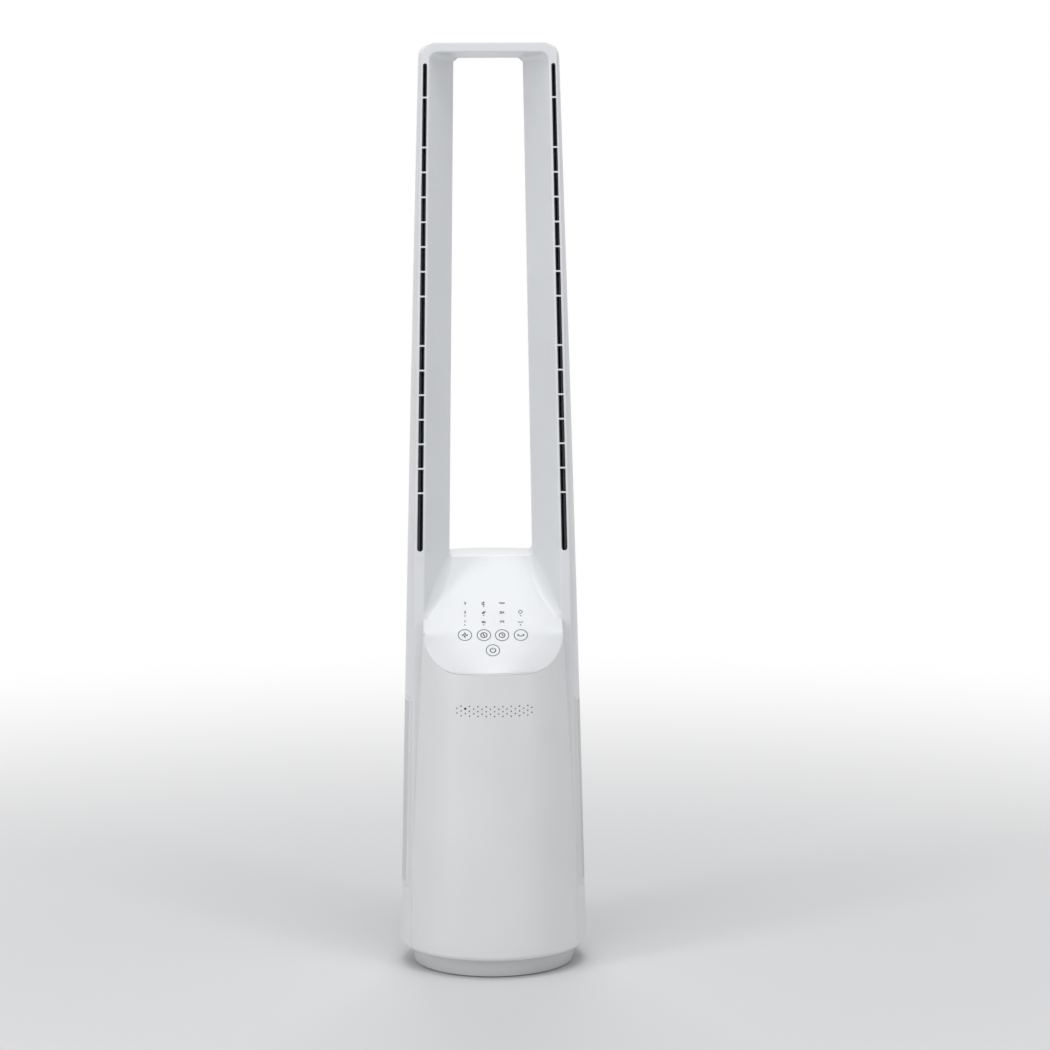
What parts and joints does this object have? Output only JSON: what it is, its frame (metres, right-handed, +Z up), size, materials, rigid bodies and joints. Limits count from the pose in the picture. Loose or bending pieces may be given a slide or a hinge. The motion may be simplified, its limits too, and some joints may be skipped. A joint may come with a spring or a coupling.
{
  "type": "bladeless tower fan",
  "caption": "Tapering round tower fan with a tall open air loop, slotted front face, sloping touch panel and a swivelling casing on a round weighted foot.",
  "frame": {"origin": "centre of the foot's resting plane, under the swing axis", "axes": "+Z up along the swing axis, -Y towards the front with the control panel, +X to the right seen from the front"},
  "size_m": [0.2046, 0.2046, 1],
  "materials": {
    "white_plastic": "satin, cool white",
    "shell_plastic": "satin, pale silver grey",
    "foot_plastic": "fine satin grey",
    "inner_plastic": "moulded, unpainted",
    "black_plastic": "matt black",
    "nylon": "natural nylon",
    "rubber": "matt",
    "steel": "zinc-plated sheet",
    "zinc": "bright zinc plate",
    "circuit_board": "solder mask",
    "filter_foam": "open-cell dust filter mat"
  },
  "bodies": {
    "base": {"foot_shell": "foot_plastic", "foot_bottom_plate": "foot_plastic", "ballast_plate": "steel", "pivot_post": "zinc", "ring_gear": "nylon", "slip_ring": "nylon", "cord_gland": "rubber", "rubber_foot_1": "rubber", "rubber_foot_2": "rubber", "rubber_foot_3": "rubber", "rubber_foot_4": "rubber", "foot_screw_1": "zinc", "foot_screw_2": "zinc", "foot_screw_3": "zinc", "foot_screw_4": "zinc", "retaining_collar": "zinc"},
    "tower": {"turntable": "inner_plastic", "front_shell": "shell_plastic", "front_frame": "white_plastic", "rear_shell": "shell_plastic", "nozzle_insert_right": "black_plastic", "nozzle_insert_left": "black_plastic", "swing_motor": "zinc", "mains_board": "circuit_board", "touch_board": "circuit_board", "key_light_guide": "nylon", "display_mask": "black_plastic", "display_board": "circuit_board", "remote_receiver": "black_plastic", "air_splitter": "inner_plastic", "impeller_shroud": "inner_plastic", "diffuser": "inner_plastic", "motor_isolator": "rubber", "motor_can": "steel", "lower_bearing": "steel", "upper_bearing": "steel", "motor_cap": "inner_plastic", "case_screw_1": "zinc", "case_screw_2": "zinc", "case_screw_3": "zinc", "case_screw_4": "zinc"},
    "rotor": {"impeller": "black_plastic", "rotor_shaft": "steel", "impeller_nut": "zinc"},
    "pinion": {"swing_pinion": "nylon"},
    "rear_cover": {"rear_grille_cover": "shell_plastic", "filter_frame": "inner_plastic", "dust_filter": "filter_foam"}
  },
  "joints": [
    {"name": "tower_swing", "type": "hinge", "parent": "base", "child": "tower", "pos_m": [0, 0, 0.021], "axis": [0, 0, 1], "range_deg": [-40, 40]},
    {"name": "pinion_turn", "type": "hinge", "parent": "tower", "child": "pinion", "pos_m": [0, 0.045, 0.0127], "axis": [0, 0, 1], "range_deg": [-245, 245]},
    {"name": "impeller_spin", "type": "hinge", "parent": "tower", "child": "rotor", "pos_m": [0, 0, 0.242], "axis": [0, 0, 1], "continuous": true},
    {"name": "rear_cover_off", "type": "slide", "parent": "tower", "child": "rear_cover", "axis": [0, 1, 0], "range_m": [0, 0.15]}
  ],
  "couplings": [
    {"joint": "pinion_turn", "follows": "tower_swing", "ratio": -6}
  ]
}
